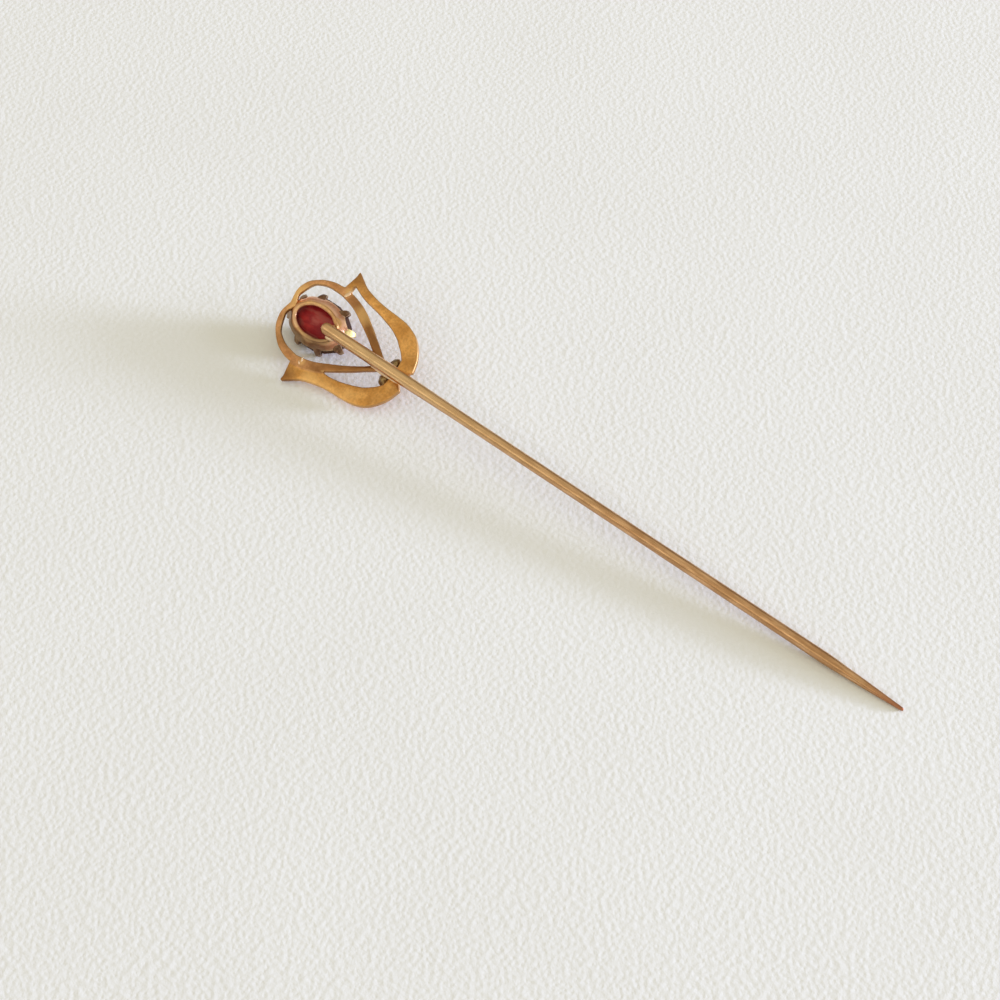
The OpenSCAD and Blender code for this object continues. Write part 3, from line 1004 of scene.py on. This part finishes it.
    def zone_at(self, x: float) -> float:
        """The zone of the heart's loop at x: lobe above, strand below."""
        low, high = self.lobe_x
        share = clamp((x - low) / (high - low))
        return Zone.LOBE.value + (Zone.STRAND.value - Zone.LOBE.value) * share

    def wear_and_light_at(self, place: Vector) -> float:
        """How much lighter, above 0, or darker, below 0, the gold is at a place, from wear and
        tarnish mixed with painted light and shade.
        """
        total = 0.0
        for x, y, radius, amount in self.wear_and_light:
            away = math.dist((place.x, place.y), (x, y)) / radius
            total += amount * max(0.0, 1 - away * away) ** 1.5
        return clamp(total, -1.0)

    @staticmethod
    def tree_of(loops: Sequence[Sequence[Point]], step: float = 0.03) -> KDTree:
        """A search tree of points set closely along some loops."""
        points: list[Vector] = []
        for loop in loops:
            for (ax, ay), (bx, by) in zip(loop, [*loop[1:], loop[0]]):
                a, b = Vector((ax, ay, 0)), Vector((bx, by, 0))
                count = max(1, math.ceil((b - a).length / step))
                points += [a.lerp(b, k / count) for k in range(count)]
        tree = KDTree(len(points))
        for index, point in enumerate(points):
            tree.insert(point, index)
        tree.balance()
        return tree


@dataclass
class Collet:
    """The flared oval setting behind the stone, with its rounded back rim and its claws."""

    rim_len: float = 4.8
    rim_w: float = 3.3
    rim_band: float = 0.36
    mouth_len: float = 6.4
    mouth_w: float = 4.64
    depth: float = 1.1
    wall: float = 0.26
    scallop: float = 0.2
    # Columns: angle, half width in degrees, extra depth. The hollows that are filed out deeper.
    deep_hollows: Rows = ((40.0, 17.0, 0.42), (273.0, 16.0, 0.3))
    set_back: float = 0.96
    rim_back: float = -0.33
    roll_deg: float = 9.0
    segments: int = 128
    claw_angles: Sequence[float] = (20, 61, 111, 148, 200, 252, 294, 336)
    claw_span: float = 18.0
    claw_w: float = 0.56
    claw_t: float = 0.28
    claw_reach: float = 0.87
    claw_out: float = 0.26
    claw_end: float = 0.57
    claw_rows: Rows = (
        (-1.60, -0.50, 0.50, 1.60),
        (-0.15, 0.00, 0.95, 1.32),
        (0.70, 0.28, 1.00, 0.86),
        (1.00, 0.56, 1.00, 0.70),
        (0.45, 0.86, 0.95, 0.62),
        (-0.50, 1.00, 0.62, 0.36),
    )

    def matrix(self) -> Matrix:
        """From the collet's own frame to the pin's."""
        place = Matrix.Translation((-self.set_back, 0, self.rim_back))
        return place @ Matrix.Rotation(math.radians(self.roll_deg), 4, "X")

    def sections(self) -> Rows:
        """Rows of share along the flare, inset and share of the depth, once around the wall."""
        band = self.rim_band
        return (
            (1.00, 0.0, 1.0),
            (0.62, 0.015, 0.62),
            (0.30, 0.03, 0.30),
            (0.10, 0.05, 0.22),
            (0.02, 0.03, 0.17),
            (0.00, 0.0, 0.12),
            (0.00, 0.02, 0.05),
            (0.00, band * 0.22, 0.008),
            (0.00, band * 0.4, 0.0),
            (0.00, band * 0.58, 0.008),
            (0.00, band, 0.12),
            (0.00, band + 0.02, 0.20),
            (0.05, band + 0.02, 0.52),
            (1.00, self.wall, 1.0),
        )

    def front_depth(self, angle: float) -> float:
        """Depth of the front edge at an angle, less in the hollows between the claws."""
        gap = min(abs((angle - claw + 540) % 360 - 180) for claw in self.claw_angles)
        share = min(1.0, gap / self.claw_span)
        filed = sum(
            more * max(0.0, 1 - ((angle - middle) / half) ** 2)
            for middle, half, more in self.deep_hollows
        )
        return self.depth - filed - self.scallop * (1 - math.cos(math.pi * share)) / 2

    def ring(self, share: float, inset: float, deep: float) -> list[Vector]:
        """The corners of one ring of the wall."""
        half_len = (self.rim_len + (self.mouth_len - self.rim_len) * share) / 2 - inset
        half_w = (self.rim_w + (self.mouth_w - self.rim_w) * share) / 2 - inset
        corners = []
        for i in range(self.segments):
            angle = 360 * i / self.segments
            a = math.radians(angle)
            place = (half_len * math.cos(a), half_w * math.sin(a), -deep * self.front_depth(angle))
            corners.append(Vector(place))
        return corners

    def build_wall(self, finish: bpy.types.Material) -> bpy.types.Object:
        """Models the wall ring by ring, from the front edge over the rim to the inside.

        Args:
            finish: The collet's gold.

        Returns:
            The wall.
        """
        rows = self.sections()
        piece = new_ring("collet_wall", self.ring(*rows[0]))
        for row in rows[1:]:
            extrude_ring_to(self.ring(*row))
        mesh = bmesh.from_edit_mesh(piece.data)
        for edge in mesh.edges:
            edge.select = len(edge.link_faces) == 1
        bmesh.update_edit_mesh(piece.data)
        bpy.ops.mesh.bridge_edge_loops()
        leave_edit()
        close_shell(piece)
        subdivide_smoothly(piece, 1)
        self.mark_wall(piece)
        nudge(piece, grain=0.8, depth=0.02, seed=5.3)
        mark_convex_edges(piece, full_turn_deg=60)
        piece.data.transform(self.matrix())
        return finish_piece(piece, finish, smooth_deg=60)

    def mark_wall(self, piece: bpy.types.Object) -> None:
        """Marks the rim's bead and inner bevel, and paints light and shade by side on the outside
        and on the bead.
        """
        zones: list[float] = []
        wear_and_light: list[float] = []
        for vertex in piece.data.vertices:
            x, y, z = vertex.co
            out = 2 * math.hypot(x / self.rim_len, y / self.rim_w)
            on_rim = clamp((0.3 + z) / 0.12)
            inner = clamp((0.86 - out) / 0.06)
            # The inner bevel takes the far tones, a redder gold that is a painted reflection of
            # the red stone.
            zones.append(on_rim * (Zone.LOBE.value + 0.5 * inner))
            # The outside is lightened on the side toward the window and darkened low down, and the
            # bead is lighter low down and darker on its shaded side: all painted light and shade.
            low = clamp(0.25 - y / (self.rim_w / 2) - x / self.rim_len)
            lit = clamp(0.2 + y / (self.rim_w / 2) + x / self.rim_len)
            bead_shade = clamp(x / (self.rim_len / 2) - y / (self.rim_w / 2) - 0.1)
            outside = 0.6 * lit - 0.95 * low
            bead = 0.3 * low * (1 - bead_shade) - 0.75 * bead_shade
            wear_and_light.append(outside * (1 - on_rim) + bead * on_rim)
        mark(piece, "zone", zones)
        mark(piece, "wear_and_light", wear_and_light)

    def claw_section(self, index: int) -> list[Vector]:
        """The corners of a claw's section at a row, as out, along and height."""
        path = [Vector((r[0] * self.claw_out, r[1] * self.claw_reach)) for r in self.claw_rows]
        last = len(path) - 1
        run = (path[min(index + 1, last)] - path[max(index - 1, 0)]).normalized()
        row = self.claw_rows[index]
        across = Vector((-run.y, run.x)) * row[2] * self.claw_t / 2
        half_w = row[3] * self.claw_w / 2
        a, b = path[index] + across, path[index] - across
        return [
            Vector((out, along, -ahead))
            for (out, ahead), along in ((a, -half_w), (a, half_w), (b, half_w), (b, -half_w))
        ]

    def claw_pattern(self) -> bpy.types.Object:
        """Models one claw at the origin: out is x, along the edge is y and ahead is -z."""
        sections = [self.claw_section(index) for index in range(len(self.claw_rows))]
        piece = loft("claw_pattern", sections)
        apply_modifier(piece, "BEVEL", width=0.05, segments=2, limit_method="ANGLE",
                       angle_limit=math.radians(50))
        subdivide_smoothly(piece, 2)
        return piece

    def build_claws(
        self, finish: bpy.types.Material, highlight_gold: bpy.types.Material
    ) -> list[bpy.types.Object]:
        """Models one claw and sets a copy of it at each angle.

        Args:
            finish: The claws' gold, darkened as painted shade.
            highlight_gold: The pale gold of the first claw, a painted highlight.

        Returns:
            The claws.
        """
        pattern = self.claw_pattern()
        claws = []
        for number, angle in enumerate(self.claw_angles, 1):
            a = math.radians(angle)
            outward = Vector((self.mouth_w * math.cos(a), self.mouth_len * math.sin(a), 0))
            foot = Vector((
                self.mouth_len / 2 * math.cos(a), self.mouth_w / 2 * math.sin(a), -self.depth
            ))
            turn = Matrix.Rotation(math.atan2(outward.y, outward.x), 4, "Z")
            claw = copy_of(pattern, f"claw_{number}")
            claw.data.transform(Matrix.Translation(foot) @ turn)
            nudge(claw, grain=0.35, depth=0.022, seed=number * 2.3)
            mark_convex_edges(claw, full_turn_deg=50)
            claw.data.transform(self.matrix())
            # The first claw gets the pale gold: a painted highlight.
            gold = highlight_gold if number == 1 else finish
            claws.append(finish_piece(claw, gold, smooth_deg=60))
        bpy.data.objects.remove(pattern)
        return claws


@dataclass(frozen=True)
class SolderSpot:
    """A flattened lump of solder: its name, middle, half lengths and turn about z."""

    name: str
    middle: tuple[float, float, float]
    half: tuple[float, float, float]
    turn_deg: float = 0.0


@dataclass
class Solder:
    """The grains in the feet of the slots, darkened as painted shade, and the solder that ran into
    the joints, pale partly as painted highlights.
    """

    grains: Sequence[SolderSpot] = field(default_factory=lambda: (
        SolderSpot("grain_left", (7.4, -0.85, -1.2), (0.55, 0.55, 0.56), 20),
        SolderSpot("grain_right", (7.4, 0.85, -1.2), (0.55, 0.55, 0.56), -20),
    ))
    runs: Sequence[SolderSpot] = field(default_factory=lambda: (
        SolderSpot("solder_shoulder_right", (-0.04, 3.6, -0.53), (0.34, 0.18, 0.13), 60),
        SolderSpot("solder_shoulder_top", (0.05, 3.97, -0.53), (0.2, 0.1, 0.11), 30),
        SolderSpot("solder_shoulder_left", (0.18, -3.42, -0.53), (0.28, 0.1, 0.11), -70),
        SolderSpot("solder_shoulder_low", (0.12, -3.78, -0.53), (0.22, 0.09, 0.11), -50),
        SolderSpot("solder_stem_left", (7.3, -0.46, -0.5), (1.7, 0.2, 0.2)),
        SolderSpot("solder_stem_right", (7.3, 0.46, -0.5), (1.7, 0.2, 0.2)),
        SolderSpot("solder_collet_left", (1.1, -0.5, -0.5), (0.5, 0.22, 0.22), 12),
        SolderSpot("solder_collet_right", (1.1, 0.5, -0.5), (0.5, 0.22, 0.22), -12),
    ))

    def build(
        self, run_finish: bpy.types.Material, shaded_grain_finish: bpy.types.Material
    ) -> list[bpy.types.Object]:
        """Models the grains and the runs of solder.

        Args:
            run_finish: The solder of the joints, pale partly as solder's own colour and partly as
                painted highlights.
            shaded_grain_finish: The grains' metal, darkened as painted shade.

        Returns:
            The lumps.
        """
        return [
            self.lump(spot, finish, first + number, coarse)
            for spots, finish, first, coarse in (
                (self.grains, shaded_grain_finish, 7, 0.26),
                (self.runs, run_finish, 11, 0.2),
            )
            for number, spot in enumerate(spots)
        ]

    @staticmethod
    def lump(
        spot: SolderSpot, finish: bpy.types.Material, seed: float, coarse: float
    ) -> bpy.types.Object:
        """Models a lump from a ball that is squeezed and made uneven.

        Args:
            spot: Where it goes and how large it is.
            finish: Its metal.
            seed: Sets its own unevenness.
            coarse: Depth of the unevenness, as a share of its smallest half length.

        Returns:
            The lump.
        """
        deselect_all()
        bpy.ops.mesh.primitive_ico_sphere_add(subdivisions=4, radius=1)
        piece = bpy.context.object
        piece.name = piece.data.name = spot.name
        piece.data.transform(
            Matrix.Translation(spot.middle)
            @ Matrix.Rotation(math.radians(spot.turn_deg), 4, "Z")
            @ Matrix.Diagonal((*spot.half, 1))
        )
        nudge(piece, grain=0.45, depth=coarse * min(spot.half), seed=seed)
        nudge(piece, grain=0.18, depth=0.06 * min(spot.half), seed=seed + 2)
        mark_convex_edges(piece, full_turn_deg=30)
        return finish_piece(piece, finish, smooth_deg=60)


@dataclass(frozen=True)
class WindowPane:
    """One light of the window: how high it stands, its width and height, and its power."""

    name: str
    elevation_deg: float
    size: Point
    power: float


@dataclass
class Studio:
    """The paper, the window light and the camera."""

    camera_at: tuple[float, float, float] = (0.05408324, -0.08025827, 0.13836147)
    camera_right: tuple[float, float, float] = (0.790085, 0.612997, 0.0)
    camera_up: tuple[float, float, float] = (-0.502138, 0.647200, 0.573576)
    lens_mm: float = 72.0
    sensor_mm: float = 36.0
    floor_half: float = 0.6
    window_towards: tuple[float, float] = (0.797, 0.604)
    window_distance: float = 2.0
    window_panes: tuple[WindowPane, ...] = (
        WindowPane("window", 8.3, (0.40, 0.18), 47.0),
        WindowPane("window_glow", 12.5, (1.2, 0.7), 31.0),
    )
    window_colour: Colour = (0.66, 0.733, 1.0)
    room_colour: Colour = (1.0, 0.955, 0.77)
    behind: Point = (-0.25, 0.97)
    behind_colour: Colour = (0.42, 0.38, 0.30)
    strip_colour: Colour = (2.0, 1.9, 1.6)
    strip_rise: Point = (0.55, 0.68)
    low_colour: Colour = (0.8, 0.76, 0.6)
    room_strength: float = 0.68

    def build_floor(self, finish: bpy.types.Material) -> bpy.types.Object:
        """Lays the sheet of paper, cut into a grid."""
        deselect_all()
        bpy.ops.mesh.primitive_grid_add(
            x_subdivisions=24, y_subdivisions=24, size=2 * self.floor_half
        )
        floor = bpy.context.object
        floor.name = "paper"
        floor.data.materials.append(finish)
        return floor

    def light_pane(self, pane: WindowPane) -> bpy.types.Object:
        """Hangs one soft light of the window, low on the right."""
        towards = Vector((*self.window_towards, 0)).normalized()
        rise = math.radians(pane.elevation_deg)
        aim = towards * math.cos(rise) + Vector((0, 0, math.sin(rise)))
        data = bpy.data.lights.new(pane.name, "AREA")
        data.shape = "RECTANGLE"
        data.size, data.size_y = pane.size
        data.energy = pane.power
        data.color = self.window_colour
        lamp = bpy.data.objects.new(pane.name, data)
        lamp.location = aim * self.window_distance
        lamp.rotation_mode = "QUATERNION"
        lamp.rotation_quaternion = (-aim).to_track_quat("-Z", "Y")
        bpy.context.scene.collection.objects.link(lamp)
        return lamp

    def light_room(self) -> None:
        """Fills the room with soft, slightly warm light, dim behind, with a strip in front."""
        world = bpy.data.worlds.new("room")
        world.use_nodes = True
        graph = Graph(world.node_tree)
        background = world.node_tree.nodes["Background"]
        towards = graph.node("ShaderNodeTexCoord").outputs["Generated"]
        parts = graph.node("ShaderNodeSeparateXYZ")
        graph.feed(parts.inputs[0], towards)
        side = graph.node("ShaderNodeVectorMath", operation="DOT_PRODUCT")
        graph.feed(side.inputs[0], towards)
        side.inputs[1].default_value = (*self.behind, 0)
        rise = parts.outputs["Z"]
        behind = graph.ramp(graph.math("SUBTRACT", side.outputs["Value"], rise), -0.4, 0.75)
        before = graph.ramp(graph.math("MULTIPLY", side.outputs["Value"], -1.0), 0.25, 0.55)
        start, end = self.strip_rise
        above = graph.ramp(rise, start - 0.06, start + 0.04)
        below = graph.math("SUBTRACT", 1.0, graph.ramp(rise, end - 0.04, end + 0.06))
        strip = graph.math("MULTIPLY", graph.math("MULTIPLY", above, below), before)
        low = graph.math("SUBTRACT", 1.0, graph.ramp(rise, 0.3, 0.5))
        lit = graph.mix(behind, rgba(self.room_colour), rgba(self.behind_colour))
        lit = graph.mix(graph.math("MULTIPLY", low, before), lit, rgba(self.low_colour))
        lit = graph.mix(strip, lit, rgba(self.strip_colour))
        graph.feed(background.inputs["Color"], lit)
        background.inputs["Strength"].default_value = self.room_strength
        bpy.context.scene.world = world
        bpy.context.scene.view_settings.view_transform = "Standard"

    def set_camera(self) -> bpy.types.Object:
        """Sets the camera at the photograph's angle."""
        data = bpy.data.cameras.new("camera")
        data.sensor_width = self.sensor_mm
        data.lens = self.lens_mm
        data.clip_start = 0.01
        data.clip_end = 10
        camera = bpy.data.objects.new("camera", data)
        right, up = Vector(self.camera_right), Vector(self.camera_up)
        turn = Matrix((right, up, right.cross(up))).transposed().to_4x4()
        camera.matrix_world = Matrix.Translation(self.camera_at) @ turn
        bpy.context.scene.collection.objects.link(camera)
        bpy.context.scene.camera = camera
        return camera


@dataclass
class StickPin:
    """The whole pin: builds every piece, hides the solid that they stand for and dresses the
    stone.
    """

    stem: Stem = field(default_factory=Stem)
    tulip: TulipFrame = field(default_factory=TulipFrame)
    collet: Collet = field(default_factory=Collet)
    solder: Solder = field(default_factory=Solder)

    petal_gold: GoldFinish = GoldFinish(
        "petal_gold", bright=(0.96, 0.50, 0.155), deep=(0.76, 0.36, 0.095),
        rim=(0.62, 0.36, 0.15), rubbed_and_lit=(1.0, 0.62, 0.25), tarnished_and_shaded=(0.34, 0.15, 0.05),
        roughness=0.36, cloud_mm=0.9, bump=0.4, mottling=0.32,
        middle=((0.84, 0.43, 0.20), (0.60, 0.28, 0.12)),
        far=((0.46, 0.21, 0.08), (0.30, 0.135, 0.05)),
    )
    # Its far tones, on the rim's inner bevel, are a painted reflection of the red stone.
    collet_gold: GoldFinish = GoldFinish(
        "collet_gold", bright=(1.0, 0.54, 0.34), deep=(0.76, 0.37, 0.21), rim=(0.95, 0.68, 0.38),
        tarnished_and_shaded=(0.32, 0.20, 0.11), rubbed_and_lit=(1.0, 0.66, 0.50), roughness=0.34, cloud_mm=0.7,
        mottling=0.2,
        middle=((0.95, 0.58, 0.27), (0.72, 0.40, 0.17)),
        far=((0.80, 0.40, 0.26), (0.60, 0.27, 0.16)),
    )
    # The claws' gold is darkened: painted shade on the claws.
    shaded_claw_gold: GoldFinish = GoldFinish(
        "shaded_claw_gold", bright=(0.40, 0.27, 0.17), deep=(0.22, 0.13, 0.08), rim=(0.58, 0.42, 0.26),
        roughness=0.4, cloud_mm=0.5,
    )
    # The first claw's pale gold is a painted highlight where the window glints on it.
    highlight_claw_gold: GoldFinish = GoldFinish(
        "highlight_claw_gold", bright=(0.78, 0.64, 0.27), deep=(0.64, 0.50, 0.20),
        rim=(0.80, 0.68, 0.32), roughness=0.55, cloud_mm=0.5, mottling=0.05,
    )
    stem_gold: GoldFinish = GoldFinish(
        "stem_gold", bright=(0.80, 0.48, 0.26), deep=(0.57, 0.31, 0.15), rim=(0.42, 0.17, 0.09),
        rubbed_and_lit=(1.0, 0.72, 0.38), tarnished_and_shaded=(0.36, 0.20, 0.09), roughness=0.24, cloud_mm=0.3,
        stretch=0.14, mottling=0.35,
    )
    # The solder's gold is pale: solder's own colour, with painted highlights at the joints.
    solder_and_highlight_gold: GoldFinish = GoldFinish(
        "solder_and_highlight_gold", bright=(1.0, 0.80, 0.56), deep=(1.0, 0.70, 0.45), rim=(1.0, 0.85, 0.65),
        roughness=0.4, cloud_mm=0.4, mottling=0.1,
    )
    # The grains' gold is darkened: painted shade in the feet of the slots.
    shaded_grain_gold: GoldFinish = GoldFinish(
        "shaded_grain_gold", bright=(0.32, 0.20, 0.08), deep=(0.16, 0.10, 0.04), rim=(0.42, 0.28, 0.13),
        roughness=0.34, cloud_mm=0.4,
    )
    gem: GemFinish = GemFinish()

    def build(self) -> None:
        """Builds the pin's pieces in order and hides the solids that they stand for."""
        shared_gold = gold_wear_and_light_group()
        made = [
            self.stem.build(self.stem_gold.material(shared_gold)),
            self.tulip.build(self.petal_gold.material(shared_gold)),
            self.collet.build_wall(self.collet_gold.material(shared_gold)),
            *self.collet.build_claws(
                self.shaded_claw_gold.material(shared_gold), self.highlight_claw_gold.material(shared_gold)
            ),
            *self.solder.build(
                self.solder_and_highlight_gold.material(shared_gold), self.shaded_grain_gold.material(shared_gold)
            ),
        ]
        for piece in made:
            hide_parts(MOUNT_NODE)
        self.dress_stone(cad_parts[STONE_NODE])

    def dress_stone(self, stone: bpy.types.Object) -> None:
        """Gives the stone's own solid its red finish."""
        material = self.gem.material()
        for place in stone.material_slots:
            place.material = material
        LOG.info("%s: kept as packed, %s", stone.name, material.name)


def corners(box: tuple[Vector, Vector]) -> list[list[float]]:
    """A box's two corners as plain lists of numbers."""
    return [[round(value, 6) for value in corner] for corner in box]


def main() -> None:
    """Builds the pin and its surroundings."""
    logging.basicConfig(level=logging.INFO, format="%(name)s: %(message)s")
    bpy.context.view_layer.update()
    studio = Studio()
    studio.set_camera()
    studio.light_room()
    for pane in studio.window_panes:
        studio.light_pane(pane)
    studio.build_floor(PaperFinish().material())
    StickPin().build()


if __name__ == "__main__":
    main()
